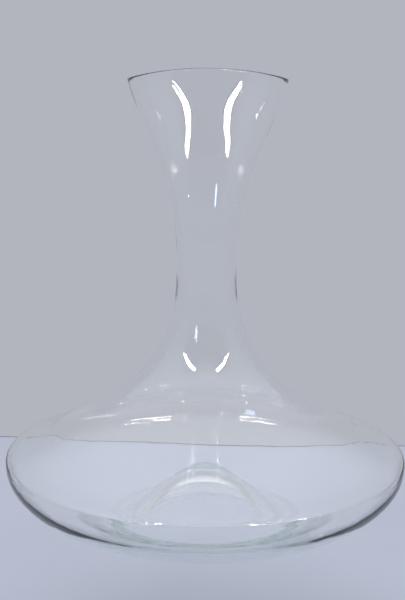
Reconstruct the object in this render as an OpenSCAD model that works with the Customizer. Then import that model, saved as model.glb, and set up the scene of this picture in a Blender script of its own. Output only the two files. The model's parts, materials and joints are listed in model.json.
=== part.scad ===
// Wine decanter: one blown glass body with a flared, saddle-cut mouth, a narrow throat, a concave
// shoulder, a wide low bowl and a bell pushed up in the base. Millimetres, +Z up, origin at the
// centre of the base, on the surface that the decanter stands on. The left and right of the mouth
// are on X; its high front and back are on Y.
// The body is drawn as the zones of the glass, which meet face to face on conical seams.

/* [Bowl] */
// Diameter of the bowl at its widest ring
bowl_d = 220; // [200:1:240]
// Height of the widest ring
belly_z = 44; // [38:0.5:52]
// Diameter where the straight heel meets the rounded bowl wall
heel_d = 155; // [145:1:165]
// Height of the top of the straight heel
heel_z = 13; // [11:0.5:15]

/* [Shoulder] */
// Diameter where the shoulder turns from concave to convex
turn_d = 166; // [158:1:172]
// Height of that turn
turn_z = 58.5; // [55:0.5:62]
// Slope of the shoulder at the turn, in degrees below the horizontal
turn_slope = 25.5; // [20:0.5:32]

/* [Throat] */
// Outer diameter of the throat at its narrowest
throat_d = 32.4; // [29:0.2:40]
// Height of the middle of the throat
throat_z = 151; // [140:1:160]
// Length of the straight stretch in the throat
throat_len = 12; // [8:1:16]

/* [Mouth] */
// Total height, at the high front and back of the rim
height = 255.2; // [246:0.2:262]
// How far the rim dips at the left and right
rim_dip = 5.3; // [3:0.1:8]
// Outer diameter at the low left and right of the rim
mouth_d = 85; // [76:0.2:96]
// Slope of the flare at the rim, in degrees from the vertical
flare_slope = 14; // [10:0.5:22]

/* [Base] */
// Outer diameter of the ring that the decanter rests on
foot_d = 100; // [92:1:108]
// Width of the flat on that ring
foot_flat = 4; // [3:0.5:6]
// Height of the punt inside the bowl
punt_h = 39; // [34:0.5:42]
// Outer diameter of the foot of the punt inside the bowl
punt_d = 108; // [104:1:110]

/* [Glass] */
// Wall thickness at the foot
wall_foot = 4; // [3:0.1:5]
// Wall thickness at the top of the heel
wall_heel = 2.4; // [2:0.1:4]
// Wall thickness at the widest ring
wall_belly = 1.9; // [1.6:0.1:3]
// Wall thickness where the shoulder turns
wall_turn = 1.8; // [1.5:0.1:3]
// Wall thickness in the throat
wall_throat = 2.6; // [1.8:0.1:3.4]
// Wall thickness in the flare
wall_flare = 1.7; // [1.4:0.1:2.6]
// Wall thickness at the fire-polished lip
wall_lip = 2.3; // [1.7:0.1:3]
// Thickness of the tip of the punt
wall_punt = 10; // [4:0.5:12]

/* [Hidden] */
$fn = 96;
glass = [0.86, 0.92, 0.90, 0.35];

// Segments along each curve of the outline
curve_steps = 14;
// Segments of the shoulder curve that belong to the throat zone
throat_steps = 5;
// Segments of the flare curve that belong to the throat zone
collar_steps = 4;
// Radius of the rounded edges of the foot ring
foot_round = 1.4;
// Seam between the foot ring and the heel
seam_r = 57;
// Segments along each curve of the punt, and how many of the upper one belong to the punt zone
punt_steps = 20;
punt_cut = 16;
// Handles of the punt's two curves, as shares of the radius: the width of the dome and of the flank
top_dome = 0.38;
top_flank = 0.62;
under_dome = 0.4;
under_flank = 0.66;
// Height of each curve's flank handle: above the floor of the bowl, and above the table
top_flank_rise = 1.5;
under_flank_z = 4;
// Spare flare above the rim, which the saddle cut removes
rim_spare = 3;
// The block that makes the saddle cut, as a share of the saddle's radius, and its roundness
cutter_size = 2.5;
cutter_sides = 720;

bowl_r = bowl_d / 2;
turn_r = turn_d / 2;
throat_r = throat_d / 2;
mouth_r = mouth_d / 2;
foot_r = foot_d / 2;
heel_r = heel_d / 2;
punt_r = punt_d / 2;
rim_z = height - rim_dip;
heel_slope = atan2(heel_z, heel_r - foot_r);
saddle_r = (mouth_r * mouth_r + rim_dip * rim_dip) / (2 * rim_dip);

// Lengths of the curve handles, which set how full each curve is
heel_pull = 20;
belly_pull_down = 14.5;
belly_pull_up = 5.5;
turn_pull_out = 26;
turn_pull_in = 53;
throat_pull_down = 36;
throat_pull_up = 39;
flare_pull = 23;

// Wall thickness towards each end of the two curves whose glass swells between their ends
wall_low_bowl = 4.8;
wall_mid_bowl = 2.2;
wall_low_shoulder = 3.4;
wall_high_shoulder = 4.6;

function mix(a, b, t) = a + (b - a) * t;
function heading(angle) = [cos(angle), sin(angle)];
function bezier(p, t) =
    pow(1 - t, 3) * p[0] + 3 * t * pow(1 - t, 2) * p[1] + 3 * t * t * (1 - t) * p[2] + pow(t, 3) * p[3];
function tangent(p, t) =
    pow(1 - t, 2) * (p[1] - p[0]) + 2 * t * (1 - t) * (p[2] - p[1]) + t * t * (p[3] - p[2]);
function straight(a, b) = [a, mix(a, b, 1 / 3), mix(a, b, 2 / 3), b];

// A station is [outer point, inner point]: the inner one lies one wall thickness inwards. The wall
// is given as the four handles of its own curve.
function station(p, t, wall) =
    let (d = tangent(p, t), inward = [-d[1], d[0]] / norm(d))
    [bezier(p, t), bezier(p, t) + inward * bezier(wall, t)];
function stations(p, steps, wall) = [for (i = [0:steps]) station(p, i / steps, wall)];
function part_of(list, first, last) = [for (i = [first:last]) list[i]];

// Outline, from the foot up
foot_edge = [foot_r, 0];
heel_top = [heel_r, heel_z];
belly = [bowl_r, belly_z];
turn = [turn_r, turn_z];
throat_low = [throat_r, throat_z - throat_len / 2];
throat_high = [throat_r, throat_z + throat_len / 2];
rim_low = [mouth_r, rim_z];
rise = [sin(flare_slope), cos(flare_slope)];
seam_share = (seam_r - foot_r) / (heel_r - foot_r);
seam = mix(foot_edge, heel_top, seam_share);
wall_seam = mix(wall_foot, wall_heel, seam_share);

heel_line = straight(seam, heel_top);
wall_curve = [heel_top, heel_top + heel_pull * heading(heel_slope), belly - [0, belly_pull_down], belly];
top_curve = [belly, belly + [0, belly_pull_up], turn + turn_pull_out * heading(-turn_slope), turn];
shoulder_in = turn - turn_pull_in * heading(-turn_slope);
shoulder_curve = [turn, shoulder_in, throat_low - [0, throat_pull_down], throat_low];
flare_curve = [throat_high, throat_high + [0, throat_pull_up], rim_low - flare_pull * rise, rim_low];
rim_line = straight(rim_low, rim_low + (rim_dip + rim_spare) / rise[1] * rise);

heel_run = stations(heel_line, 1, straight(wall_seam, wall_heel));
wall_run = stations(wall_curve, curve_steps, [wall_heel, wall_low_bowl, wall_mid_bowl, wall_belly]);
top_run = stations(top_curve, curve_steps, straight(wall_belly, wall_turn));
shoulder_walls = [wall_turn, wall_low_shoulder, wall_high_shoulder, wall_throat];
shoulder_run = stations(shoulder_curve, curve_steps, shoulder_walls);
flare_run = stations(flare_curve, curve_steps, straight(wall_throat, wall_flare));
lip_start = curve_steps - 1;
lip_run = [flare_run[lip_start], station(rim_line, 1, straight(wall_lip, wall_lip))];

// Punt: its upper surface inside the bowl and its under surface, both from the tip outwards. The
// upper one ends on the heel's inner face, carried inwards.
punt_floor = seam[1] + wall_seam / cos(heel_slope) - (seam_r - punt_r) * tan(heel_slope);
punt_top = [
    [0, punt_h], [punt_r * top_dome, punt_h],
    [punt_r * top_flank, punt_floor + top_flank_rise], [punt_r, punt_floor]
];
flat_out = foot_r - foot_round * tan(heel_slope / 2);
ring_in = flat_out - foot_flat - foot_round;
under_h = punt_h - wall_punt;
punt_under = [
    [0, under_h], [ring_in * under_dome, under_h],
    [ring_in * under_flank, under_flank_z], [ring_in, foot_round]
];
function arc(centre, r, a0, a1, steps) =
    [for (i = [0:steps]) centre + r * heading(mix(a0, a1, i / steps))];

// Glass between the outer and inner points of a run of stations
module shell(run) {
    rotate_extrude()
        polygon(concat([for (s = run) s[0]], [for (i = [len(run) - 1:-1:0]) run[i][1]]));
}

// Everything above the rim: its lower face is a cylinder that lies along Y, so the rim is a saddle
module saddle_cutter() {
    translate([0, 0, height - saddle_r])
        difference() {
            cube(cutter_size * saddle_r, center = true);
            rotate([90, 0, 0])
                cylinder(r = saddle_r, h = bowl_d, center = true, $fn = cutter_sides);
        }
}

module lip() {
    color(glass)
        difference() {
            shell(lip_run);
            saddle_cutter();
        }
}

module mouth() {
    color(glass)
        shell(part_of(flare_run, collar_steps, lip_start));
}

module throat() {
    below = part_of(shoulder_run, curve_steps - throat_steps, curve_steps);
    above = part_of(flare_run, 0, collar_steps);
    color(glass)
        shell(concat(below, above));
}

module shoulder() {
    color(glass)
        shell(part_of(shoulder_run, 0, curve_steps - throat_steps));
}

module bowl_top() {
    color(glass)
        shell(top_run);
}

module bowl_wall() {
    color(glass)
        shell(wall_run);
}

module heel() {
    color(glass)
        shell(heel_run);
}

module foot_ring() {
    top_side = [for (i = [punt_steps:-1:punt_cut]) bezier(punt_top, i / punt_steps)];
    inner_edge = arc([ring_in + foot_round, foot_round], foot_round, 180, 270, 4);
    outer_edge = arc([flat_out, foot_round], foot_round, 270, 270 + heel_slope, 3);
    color(glass)
        rotate_extrude()
            polygon(concat(inner_edge, outer_edge, [seam, heel_run[0][1]], top_side));
}

module punt() {
    under_side = [for (i = [0:punt_steps]) bezier(punt_under, i / punt_steps)];
    top_side = [for (i = [punt_cut:-1:0]) bezier(punt_top, i / punt_steps)];
    color(glass)
        rotate_extrude()
            polygon(concat(under_side, top_side));
}

lip();
mouth();
throat();
shoulder();
bowl_top();
bowl_wall();
heel();
foot_ring();
punt();
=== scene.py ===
"""Wine decanter: one continuous body of hand-blown glass, standing on a pale tabletop.

The glass is a single closed surface turned about the Z axis. Its rim is cut to a saddle, its walls
have the slight waves of blown glass, and its base is pushed up into a bell. Angles are in degrees.
The decanter and the tabletop are in millimetres until their meshes are made; materials, lights and
the camera are in metres.
"""

import json
import math

import bpy
import numpy as np
from mathutils import Matrix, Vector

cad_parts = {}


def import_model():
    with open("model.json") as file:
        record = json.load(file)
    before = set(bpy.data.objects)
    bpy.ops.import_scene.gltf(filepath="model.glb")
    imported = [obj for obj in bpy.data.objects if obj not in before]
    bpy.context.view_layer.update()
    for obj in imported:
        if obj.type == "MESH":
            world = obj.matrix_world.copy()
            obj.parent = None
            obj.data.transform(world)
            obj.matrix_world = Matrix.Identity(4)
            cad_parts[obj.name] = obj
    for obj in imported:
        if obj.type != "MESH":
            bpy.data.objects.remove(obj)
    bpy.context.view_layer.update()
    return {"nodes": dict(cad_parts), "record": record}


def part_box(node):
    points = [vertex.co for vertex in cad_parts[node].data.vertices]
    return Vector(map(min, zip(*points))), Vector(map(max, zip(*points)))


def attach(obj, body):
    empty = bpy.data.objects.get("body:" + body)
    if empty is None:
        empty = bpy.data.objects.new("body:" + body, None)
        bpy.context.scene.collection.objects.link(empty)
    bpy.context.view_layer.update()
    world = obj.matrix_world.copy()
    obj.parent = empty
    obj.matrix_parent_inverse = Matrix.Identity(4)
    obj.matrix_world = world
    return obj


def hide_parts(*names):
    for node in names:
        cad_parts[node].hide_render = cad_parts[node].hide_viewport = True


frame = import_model()

MM = 0.001

# ---------------------------------------------------------------- sizes from the frame


def low(node):
    """The lower corner of a CAD node's box, in millimetres."""
    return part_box(node)[0] / MM


def high(node):
    """The upper corner of a CAD node's box, in millimetres."""
    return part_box(node)[1] / MM


HEIGHT = high("lip").z
MOUTH_R = high("lip").x
BOWL_R = high("bowl_wall").x
BELLY_Z = high("bowl_wall").z
TURN_R = high("shoulder").x
TURN_Z = high("bowl_top").z
HEEL_R = high("heel").x
HEEL_Z = low("bowl_wall").z
PUNT_TIP_Z = high("punt").z
MOUNTS = {mount["name"]: mount for mount in frame["record"]["mounts"]}
BORE = MOUNTS["throat_bore"]
BORE_R = BORE["dims"]["r_mm"]
THROAT_LOW_Z = BORE["pos_m"][2] / MM - BORE["dims"]["length_mm"] / 2
THROAT_HIGH_Z = BORE["pos_m"][2] / MM + BORE["dims"]["length_mm"] / 2

# ---------------------------------------------------------------- the glass blower's values

# How far the rim dips at its left and right, the slopes of the flare at the rim, from the vertical,
# and of the shoulder where it turns from convex to concave, and the outside of the foot
RIM_DIP = 5.3
FLARE_SLOPE = 14
TURN_SLOPE = 25.5
FOOT_R = 50

# Lengths of the two handles of each curve of the outline, which set how full the curve is
BOWL_HANDLES = (20, 14.5)
TOP_HANDLES = (5.5, 26)
SHOULDER_HANDLES = (53, 36)
FLARE_HANDLES = (39, 23)

# Wall thickness, from the foot up; a curve whose glass swells has a value towards each of its ends
WALL_FOOT = 4.0
WALL_HEEL = 2.4
WALL_LOW_BOWL = 3.7
WALL_MID_BOWL = 2.2
WALL_BELLY = 1.9
WALL_TURN = 1.8
WALL_LOW_SHOULDER = 3.4
WALL_HIGH_SHOULDER = 4.6
WALL_THROAT = 2.6
WALL_FLARE = 1.7
WALL_LIP = 1.8

# The base: the ring that touches the table, the soft corner from there up to the heel, the valley
# round the bell inside the bowl, where the heel's inner face begins, and the glass of the bell's tip
RING_R = 46.5
RING_FLAT = 1.2
CORNER = 4
VALLEY_R = 54
VALLEY_RISE = 0.6
VALLEY_BLEND = 1.5
SEAT_R = 58
TIP_THICKNESS = 10.0

# The bell's under and upper curve: the reach of its two handles, as shares of the radius of its
# foot, and how high its flank handle lies above that foot
UNDER_DOME = 0.4
UNDER_FLANK = 0.66
UNDER_FLANK_RISE = 3
UPPER_DOME = 0.38
UPPER_FLANK = 0.62
UPPER_FLANK_RISE = 1.2

# How many points go round the glass, along each curve of its outline, up the flare, over the lip,
# and along the short runs: the heel, the throat, the spare flare above the rim and the soft corners
TURNS = 240
CURVE_POINTS = 22
RIM_POINTS = 54
BEAD_POINTS = 8
HEEL_POINTS = 12
THROAT_POINTS = 5
SPARE_POINTS = 6
CORNER_POINTS = 8

# The slow waves of blown glass: how far they move the surface, where they fade out, and for each
# wave its crests round the glass, its length along the wall and its offset in radians
WAVE_HEIGHT = 0.05
WAVE_FADE_Z = 40
WAVES = [(2, 61, 0.3), (3, 83, 1.9), (5, 47, 4.1), (4, 71, 2.6), (1, 38, 5.2)]

# Heights closer than this are the same, and the foot's corner ends at least this far short of the
# first point of the wall
SAME = 0.01
CORNER_GAP = 0.5

HEEL_SLOPE = math.degrees(math.atan2(HEEL_Z, HEEL_R - FOOT_R))
RIM_Z = HEIGHT - RIM_DIP
THROAT_R = BORE_R + WALL_THROAT

# ---------------------------------------------------------------- stage, lights and camera values

# The tabletop: half its width, its thickness, how far it lies under the decanter, its rear edge and
# how far that edge is turned
TABLE_HALF = 1600
TABLE_DEPTH = 30
TABLE_GAP = 0.12
TABLE_END = 151
TABLE_TURN = -0.05

# The painted shadow line, a thin dark strip along the tabletop's rear edge: where it starts and ends, and
# its height
EDGE_FRONT = -0.6
EDGE_BACK = 0.1
EDGE_Z = 0.1
EDGE_SHADOW_GREY = (0.22, 0.21, 0.22, 1)

# The soft shade on the tabletop: its middle, where it starts and stops fading, and its darkest level
SHADE_CENTRE = (0, -0.14, 0)
SHADE_START = 0.02
SHADE_END = 0.14
SHADE_LEVEL = 0.79

# The room, whose heights and depths are those of a direction of length 1: grey walls that turn into
# a bright ceiling, and a darker band at the near end
ROOM_GREY = (0.445, 0.462, 0.515, 1)
ROOM_WHITE = (1.0, 1.04, 1.16, 1)
ROOM_DARK = (0.26, 0.26, 0.28, 1)
CEILING_START = 0.3
CEILING_FULL = 0.85
BAND_STARTS_Y = -0.2
BAND_FULL_Y = -0.55
BAND_LEVELS = ((0.2, 0), (0.38, 1), (0.7, 1), (0.84, 0))

# The two long strip lights: the place of the right one, its tilt, its length, width and power
STRIP_PLACE = (0.72, -0.6, 0.94)
STRIP_TILT = 40
STRIP_LENGTH = 0.76
STRIP_WIDTH = 0.027
STRIP_POWER = 8.7
STRIP_COLOUR = (1, 0.98, 0.95)

# The cool window: its width, height, power, and its place as a turn, a rise and a distance
WINDOW_WIDTH = 0.16
WINDOW_HEIGHT = 0.32
WINDOW_POWER = 2.4
WINDOW_COLOUR = (0.62, 0.72, 1.0)
WINDOW_TURN = -32
WINDOW_RISE = 25
WINDOW_DISTANCE = 2

# The camera: its place, how far it looks down, its roll, and its lens and film height
CAMERA_PLACE = (-0.00205, -0.6, 0.25466)
CAMERA_DOWN = 11.59
CAMERA_ROLL = 0.4
LENS_LENGTH = 45.062
FILM_HEIGHT = 24
NEAREST = 0.01


# ---------------------------------------------------------------- curves


def heading(angle):
    """A step of length 1 in (radius, height), at this angle above the horizontal."""
    return np.array([math.cos(math.radians(angle)), math.sin(math.radians(angle))])


def even(start, end):
    """The four handles of a curve that runs straight and evenly from start to end."""
    start = np.array(start, float)
    end = np.array(end, float)
    return [start, start + (end - start) / 3, start + (end - start) * 2 / 3, end]


def cubic(handles, t):
    """The value of a cubic curve with these four handles, t of the way along it."""
    a, b, c, d = (np.array(handle, float) for handle in handles)
    s = 1 - t
    return s**3 * a + 3 * s * s * t * b + 3 * s * t * t * c + t**3 * d


def bezier(handles, count, walls=(0, 0, 0, 0)):
    """Points of a cubic curve in (radius, height), each with its inward normal and wall thickness."""
    a, b, c, d = (np.array(handle, float) for handle in handles)
    rows = []
    for t in np.linspace(0, 1, count):
        s = 1 - t
        point = cubic(handles, t)
        slope = s * s * (b - a) + 2 * s * t * (c - b) + t * t * (d - c)
        slope = slope / np.linalg.norm(slope)
        rows.append((point[0], point[1], -slope[1], slope[0], cubic(walls, t)))
    return rows


def join(*runs):
    """The runs one after another, each without the point that it shares with the run before."""
    rows = list(runs[0])
    for run in runs[1:]:
        rows += run[1:]
    return np.array(rows)


def distances(points):
    """How far along a line each of its points lies."""
    return np.concatenate([[0], np.cumsum(np.hypot(*np.diff(points, axis=0).T))])


# ---------------------------------------------------------------- the decanter's outline


def outer_wall():
    """The outside of the decanter from the foot to past the rim."""
    foot = np.array([FOOT_R, 0.0])
    heel = np.array([HEEL_R, HEEL_Z])
    belly = np.array([BOWL_R, BELLY_Z])
    turn = np.array([TURN_R, TURN_Z])
    throat_low = np.array([THROAT_R, THROAT_LOW_Z])
    throat_high = np.array([THROAT_R, THROAT_HIGH_Z])
    rim = np.array([MOUTH_R, RIM_Z])
    up = np.array([0.0, 1.0])
    out = heading(HEEL_SLOPE)
    fall = heading(-TURN_SLOPE)
    rise = heading(90 - FLARE_SLOPE)
    past_rim = rim + 2 * RIM_DIP * rise

    bowl = [heel, heel + BOWL_HANDLES[0] * out, belly - BOWL_HANDLES[1] * up, belly]
    top = [belly, belly + TOP_HANDLES[0] * up, turn + TOP_HANDLES[1] * fall, turn]
    shoulder = [turn, turn - SHOULDER_HANDLES[0] * fall, throat_low - SHOULDER_HANDLES[1] * up, throat_low]
    flare = [throat_high, throat_high + FLARE_HANDLES[0] * up, rim - FLARE_HANDLES[1] * rise, rim]
    bowl_walls = [WALL_HEEL, WALL_LOW_BOWL, WALL_MID_BOWL, WALL_BELLY]
    shoulder_walls = [WALL_TURN, WALL_LOW_SHOULDER, WALL_HIGH_SHOULDER, WALL_THROAT]
    return join(
        bezier(even(foot, heel), HEEL_POINTS, even(WALL_FOOT, WALL_HEEL)),
        bezier(bowl, CURVE_POINTS, bowl_walls),
        bezier(top, CURVE_POINTS, even(WALL_BELLY, WALL_TURN)),
        bezier(shoulder, 2 * CURVE_POINTS, shoulder_walls),
        bezier(even(throat_low, throat_high), THROAT_POINTS, even(WALL_THROAT, WALL_THROAT)),
        bezier(flare, 2 * CURVE_POINTS, even(WALL_THROAT, WALL_FLARE)),
        bezier(even(rim, past_rim), SPARE_POINTS, even(WALL_FLARE, WALL_LIP)),
    )


def underside():
    """The outside of the base: from the tip of the bell, over the contact ring, to the heel."""
    tip_z = PUNT_TIP_Z - TIP_THICKNESS
    out = heading(HEEL_SLOPE)
    corner_end = np.array([FOOT_R, 0.0]) + CORNER * out
    bell = [(0, tip_z), (UNDER_DOME * RING_R, tip_z), (UNDER_FLANK * RING_R, UNDER_FLANK_RISE), (RING_R, 0)]
    corner = [(RING_R + RING_FLAT, 0), (FOOT_R, 0), corner_end - CORNER / 2 * out, corner_end]
    return join(bezier(bell, 2 * CURVE_POINTS), bezier(corner, CORNER_POINTS))[:, :2]


def bell_top(seat):
    """The bell inside the bowl, from its tip to the point where the heel's inner face begins."""
    floor_z = seat[1] - (seat[0] - VALLEY_R) * math.tan(math.radians(HEEL_SLOPE)) + VALLEY_RISE
    floor = [VALLEY_R, floor_z]
    dome = (UPPER_DOME * VALLEY_R, PUNT_TIP_Z)
    flank = (UPPER_FLANK * VALLEY_R, floor_z + UPPER_FLANK_RISE)
    bell = [(0, PUNT_TIP_Z), dome, flank, floor]
    rise = [floor, (VALLEY_R + VALLEY_BLEND, floor_z), seat - VALLEY_BLEND * heading(HEEL_SLOPE), seat]
    return join(bezier(bell, 2 * CURVE_POINTS), bezier(rise, CORNER_POINTS))[:, :2]


def rim_height(x):
    """Height of the saddle cut at this x: a cylinder that lies along Y."""
    saddle_r = (MOUTH_R**2 + RIM_DIP**2) / (2 * RIM_DIP)
    return HEIGHT - saddle_r + math.sqrt(saddle_r**2 - x * x)


def rim_run(flare, angle):
    """Outer points, rounded lip and inner points of the flare at one angle, up to the saddle cut."""
    length = distances(flare[:, :2])
    across = abs(math.cos(angle))
    cut = np.array([rim_height(r * across) for r in flare[:, 0]])
    lip_top = flare[:, 1] + flare[:, 4] / 2 * (1 + flare[:, 3])
    end = float(np.interp(0, lip_top - cut, length))
    at = np.linspace(0, end, RIM_POINTS)
    rows = np.column_stack([np.interp(at, length, flare[:, k]) for k in range(5)])
    outer = rows[:, :2]
    inner = rows[:, :2] + rows[:, 2:4] * rows[:, 4:5]
    inward = rows[-1, 2:4]
    along = np.array([inward[1], -inward[0]])
    radius = rows[-1, 4] / 2
    centre = outer[-1] + inward * radius
    bead = []
    for k in range(1, BEAD_POINTS):
        turn = math.pi * k / BEAD_POINTS
        bead.append(centre - inward * radius * math.cos(turn) + along * radius * math.sin(turn))
    return outer, np.array(bead), inner


# ---------------------------------------------------------------- the decanter's mesh


def glass_columns():
    """The decanter's outline at each angle, without its poles, and the poles under and over the bell."""
    wall = outer_wall()
    under = underside()
    first = int(np.argmax(wall[:, 0] > under[-1, 0] + CORNER_GAP))
    last = int(np.argmax(wall[:, 1] > THROAT_HIGH_Z - SAME))
    body = wall[first : last + 1]
    flare = wall[last:]
    body_outer = body[:, :2]
    body_inner = body[:, :2] + body[:, 2:4] * body[:, 4:5]
    body_inner = body_inner[int(np.argmax(body_inner[:, 0] > SEAT_R)) :]
    bell = bell_top(body_inner[0])

    columns = []
    for k in range(TURNS):
        outer, bead, inner = rim_run(flare, 2 * math.pi * k / TURNS)
        up = [under[1:], body_outer, outer[1:], bead]
        down = [inner[::-1], body_inner[::-1][1:], bell[::-1][1:-1]]
        columns.append(np.vstack(up + down))
    return under[0], np.array(columns), bell[0]


def wave(angle, along):
    """The slight unevenness of blown glass: a few slow waves round and along the wall, up to 1."""
    total = 0
    for crests, length, offset in WAVES:
        total += math.sin(crests * angle + offset) * math.sin(along * 2 * math.pi / length)
    return total / len(WAVES)


def add_waves(columns):
    """The columns with each point moved in or out by the waves, which fade out at the foot."""
    turns = columns.shape[0]
    moved = columns.copy()
    for k in range(turns):
        rows = columns[k]
        step = np.gradient(rows, axis=0)
        normal = np.stack([-step[:, 1], step[:, 0]], axis=1) / np.hypot(step[:, 0], step[:, 1])[:, None]
        along = distances(rows)
        angle = 2 * math.pi * k / turns
        for i in range(len(rows)):
            fade = min(1.0, rows[i, 1] / WAVE_FADE_Z)
            moved[k, i] += normal[i] * WAVE_HEIGHT * fade * wave(angle, along[i])
    return moved


def lathe(name, bottom, columns, top):
    """A closed mesh from columns of (radius, height), one column per angle, and its two poles."""
    turns, count, _ = columns.shape
    angles = np.arange(turns) * 2 * math.pi / turns
    x = columns[:, :, 0] * np.cos(angles)[:, None]
    y = columns[:, :, 0] * np.sin(angles)[:, None]
    vertices = np.stack([x, y, columns[:, :, 1]], axis=2).reshape(-1, 3)
    vertices = np.vstack([vertices, [0, 0, bottom[1]], [0, 0, top[1]]]) * MM
    low_pole = turns * count
    high_pole = low_pole + 1
    faces = []
    for k in range(turns):
        here = k * count
        there = (k + 1) % turns * count
        faces.append((low_pole, there, here))
        faces.append((high_pole, here + count - 1, there + count - 1))
        for i in range(count - 1):
            faces.append((here + i, there + i, there + i + 1, here + i + 1))
    mesh = bpy.data.meshes.new(name)
    mesh.from_pydata(vertices.tolist(), [], faces)
    mesh.polygons.foreach_set("use_smooth", [True] * len(mesh.polygons))
    mesh.update()
    piece = bpy.data.objects.new(name, mesh)
    bpy.context.scene.collection.objects.link(piece)
    return piece


# ---------------------------------------------------------------- materials


def material(name):
    """A new material and its shader."""
    made = bpy.data.materials.new(name)
    made.use_nodes = True
    return made, made.node_tree.nodes["Principled BSDF"]


def noise(tree, scale, detail):
    """Fractal noise over the object's own coordinates, in cycles per metre."""
    where = tree.nodes.new("ShaderNodeTexCoord")
    cloud = tree.nodes.new("ShaderNodeTexNoise")
    cloud.inputs["Scale"].default_value = scale
    cloud.inputs["Detail"].default_value = detail
    tree.links.new(where.outputs["Object"], cloud.inputs["Vector"])
    return cloud.outputs["Fac"]


def spread(tree, source, from_low, from_high, to_low, to_high):
    """Maps a value from one range to another, held inside the second."""
    step = tree.nodes.new("ShaderNodeMapRange")
    step.inputs["From Min"].default_value = from_low
    step.inputs["From Max"].default_value = from_high
    step.inputs["To Min"].default_value = to_low
    step.inputs["To Max"].default_value = to_high
    tree.links.new(source, step.inputs["Value"])
    return step.outputs["Result"]


def ramp(tree, source, stops):
    """Turns a value into a colour, through stops of (position, colour)."""
    step = tree.nodes.new("ShaderNodeValToRGB")
    for position, _ in stops[2:]:
        step.color_ramp.elements.new(position)
    for element, (position, colour) in zip(step.color_ramp.elements, stops):
        element.position = position
        element.color = colour
    tree.links.new(source, step.inputs["Fac"])
    return step.outputs["Color"]


def bump(tree, shader, height, distance):
    """Gives the shader fine relief from a height value; distance is the height of a full step."""
    lift = tree.nodes.new("ShaderNodeBump")
    lift.inputs["Distance"].default_value = distance
    tree.links.new(height, lift.inputs["Height"])
    tree.links.new(lift.outputs["Normal"], shader.inputs["Normal"])


def glass_material():
    """Clear soda glass: smooth, with faint smudges, and green where light runs far inside it."""
    made, shader = material("clear_glass")
    tree = made.node_tree
    shader.inputs["Base Color"].default_value = (1, 1, 1, 1)
    shader.inputs["Transmission Weight"].default_value = 1
    shader.inputs["IOR"].default_value = 1.51
    smudges = spread(tree, noise(tree, 22, 4), 0.52, 0.75, 0.0, 0.03)
    tree.links.new(smudges, shader.inputs["Roughness"])
    bump(tree, shader, noise(tree, 45, 2), 0.00006)
    inside = tree.nodes.new("ShaderNodeVolumeAbsorption")
    inside.inputs["Color"].default_value = (0.60, 0.80, 0.74, 1)
    inside.inputs["Density"].default_value = 6
    tree.links.new(inside.outputs[0], tree.nodes["Material Output"].inputs["Volume"])
    return made


def table_material():
    """A matt pale laminate: faint clouds in its colour, a soft shade in front, and a fine grain."""
    made, shader = material("tabletop")
    tree = made.node_tree
    shader.inputs["Specular IOR Level"].default_value = 0
    clouds = noise(tree, 9, 3)
    tone = ramp(tree, clouds, ((0.35, (0.625, 0.65, 0.705, 1)), (0.65, (0.655, 0.68, 0.735, 1))))

    where = tree.nodes.new("ShaderNodeTexCoord")
    away = tree.nodes.new("ShaderNodeVectorMath")
    away.operation = "DISTANCE"
    away.inputs[1].default_value = SHADE_CENTRE
    tree.links.new(where.outputs["Object"], away.inputs[0])
    level = spread(tree, away.outputs["Value"], SHADE_START, SHADE_END, SHADE_LEVEL, 1.0)
    level.node.interpolation_type = "SMOOTHSTEP"
    shade = tree.nodes.new("ShaderNodeVectorMath")
    shade.operation = "SCALE"
    tree.links.new(tone, shade.inputs[0])
    tree.links.new(level, shade.inputs["Scale"])
    tree.links.new(shade.outputs["Vector"], shader.inputs["Base Color"])

    tree.links.new(spread(tree, noise(tree, 60, 4), 0.3, 0.7, 0.42, 0.58), shader.inputs["Roughness"])
    bump(tree, shader, noise(tree, 900, 3), 0.00004)
    return made


# ---------------------------------------------------------------- stage, lights and camera


def stage_mesh(name, points, faces, finish):
    """A mesh of the stage, which isn't part of the object."""
    mesh = bpy.data.meshes.new(name)
    mesh.from_pydata(points, [], faces)
    mesh.materials.append(finish)
    thing = bpy.data.objects.new(name, mesh)
    bpy.context.scene.collection.objects.link(thing)


def edge_line(back, z):
    """The left and right end of a line along the table's rear edge, this far behind it, at height z."""
    return [(x * MM, (TABLE_END + TABLE_TURN * x + back) * MM, z * MM) for x in (-TABLE_HALF, TABLE_HALF)]


def table():
    """A pale tabletop whose rear edge ends a hand's width behind the decanter."""
    half = TABLE_HALF * MM
    points = []
    for z in (-TABLE_GAP, -TABLE_DEPTH):
        points += [(-half, -half, z * MM), (half, -half, z * MM)]
        points += edge_line(0, z)[::-1]
    faces = [(0, 1, 2, 3), (7, 6, 5, 4), (0, 4, 5, 1), (1, 5, 6, 2), (2, 6, 7, 3), (3, 7, 4, 0)]
    stage_mesh("tabletop", points, faces, table_material())

    # A painted shadow line: a thin dark strip laid along the tabletop's rear edge
    shadow_paint, shader = material("table_edge")
    shader.inputs["Base Color"].default_value = EDGE_SHADOW_GREY
    points = edge_line(EDGE_FRONT, EDGE_Z) + edge_line(EDGE_BACK, EDGE_Z)[::-1]
    stage_mesh("table_edge", points, [(0, 1, 2, 3)], shadow_paint)


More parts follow.
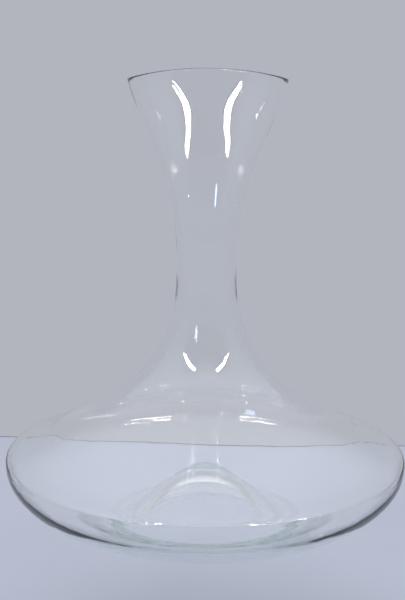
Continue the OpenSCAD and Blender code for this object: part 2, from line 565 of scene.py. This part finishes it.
def world():
    """A soft pale room: grey walls, a bright ceiling, and a darker end in front of the decanter."""
    made = bpy.data.worlds.new("studio")
    bpy.context.scene.world = made
    made.use_nodes = True
    tree = made.node_tree
    where = tree.nodes.new("ShaderNodeTexCoord")
    split = tree.nodes.new("ShaderNodeSeparateXYZ")
    tree.links.new(where.outputs["Generated"], split.inputs[0])
    ceiling = ramp(tree, split.outputs["Z"], ((CEILING_START, ROOM_GREY), (CEILING_FULL, ROOM_WHITE)))

    towards = spread(tree, split.outputs["Y"], BAND_STARTS_Y, BAND_FULL_Y, 0.0, 1.0)
    towards.node.interpolation_type = "SMOOTHSTEP"
    stops = [(position, (level, level, level, 1)) for position, level in BAND_LEVELS]
    band = ramp(tree, split.outputs["Z"], stops)
    share = tree.nodes.new("ShaderNodeMath")
    share.operation = "MULTIPLY"
    tree.links.new(towards, share.inputs[0])
    tree.links.new(band, share.inputs[1])
    blend = tree.nodes.new("ShaderNodeMix")
    blend.data_type = "RGBA"
    colours = [socket for socket in blend.inputs if socket.type == "RGBA"]
    colours[1].default_value = ROOM_DARK
    tree.links.new(share.outputs[0], blend.inputs["Factor"])
    tree.links.new(ceiling, colours[0])
    result = [socket for socket in blend.outputs if socket.type == "RGBA"][0]
    tree.links.new(result, tree.nodes["Background"].inputs["Color"])


def area_light(name, width, height, power, colour):
    """A rectangular lamp at the origin, facing down."""
    lamp = bpy.data.lights.new(name, "AREA")
    lamp.shape = "RECTANGLE"
    lamp.size = width
    lamp.size_y = height
    lamp.energy = power
    lamp.color = colour
    thing = bpy.data.objects.new(name, lamp)
    bpy.context.scene.collection.objects.link(thing)
    return thing


def strip(side):
    """A long lamp along X, over the near left (side -1) or right (side 1), which only makes highlights."""
    thing = area_light("strip", STRIP_LENGTH, STRIP_WIDTH, STRIP_POWER, STRIP_COLOUR)
    x, y, z = STRIP_PLACE
    thing.location = (side * x, y, z)
    thing.rotation_euler = (math.radians(STRIP_TILT), 0, 0)
    thing.visible_diffuse = False


def window():
    """A distant cool window on the left in front of the decanter."""
    thing = area_light("window", WINDOW_WIDTH, WINDOW_HEIGHT, WINDOW_POWER, WINDOW_COLOUR)
    turn = Matrix.Rotation(math.radians(WINDOW_TURN), 4, "Z")
    tilt = Matrix.Rotation(math.radians(90 - WINDOW_RISE), 4, "X")
    thing.matrix_world = turn @ tilt @ Matrix.Translation((0, 0, WINDOW_DISTANCE))


def camera():
    """The camera, in front of the decanter, looking down at it a little."""
    lens = bpy.data.cameras.new("camera")
    lens.sensor_fit = "VERTICAL"
    lens.sensor_height = FILM_HEIGHT
    lens.lens = LENS_LENGTH
    lens.clip_start = NEAREST
    thing = bpy.data.objects.new("camera", lens)
    bpy.context.scene.collection.objects.link(thing)
    tilt = Matrix.Rotation(math.radians(90 - CAMERA_DOWN), 4, "X")
    roll = Matrix.Rotation(math.radians(CAMERA_ROLL), 4, "Z")
    thing.matrix_world = Matrix.Translation(CAMERA_PLACE) @ tilt @ roll
    bpy.context.scene.camera = thing


# ---------------------------------------------------------------- the scene

bottom, columns, top = glass_columns()
glass = lathe("decanter", bottom, add_waves(columns), top)
glass.data.materials.append(glass_material())
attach(glass, "root")
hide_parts(*frame["nodes"])

# The soft shade in the tabletop's colour stands in for the shadow of the glass
glass.visible_shadow = False
glass.visible_diffuse = False

table()
world()
for side in (-1, 1):
    strip(side)
window()
camera()
scene = bpy.context.scene
scene.view_settings.view_transform = "Standard"
scene.cycles.max_bounces = 64
scene.cycles.transmission_bounces = 24
scene.cycles.glossy_bounces = 24
scene.cycles.use_denoising = True
scene.cycles.use_adaptive_sampling = False
scene.cycles.sample_clamp_indirect = 0

bpy.context.view_layer.update()
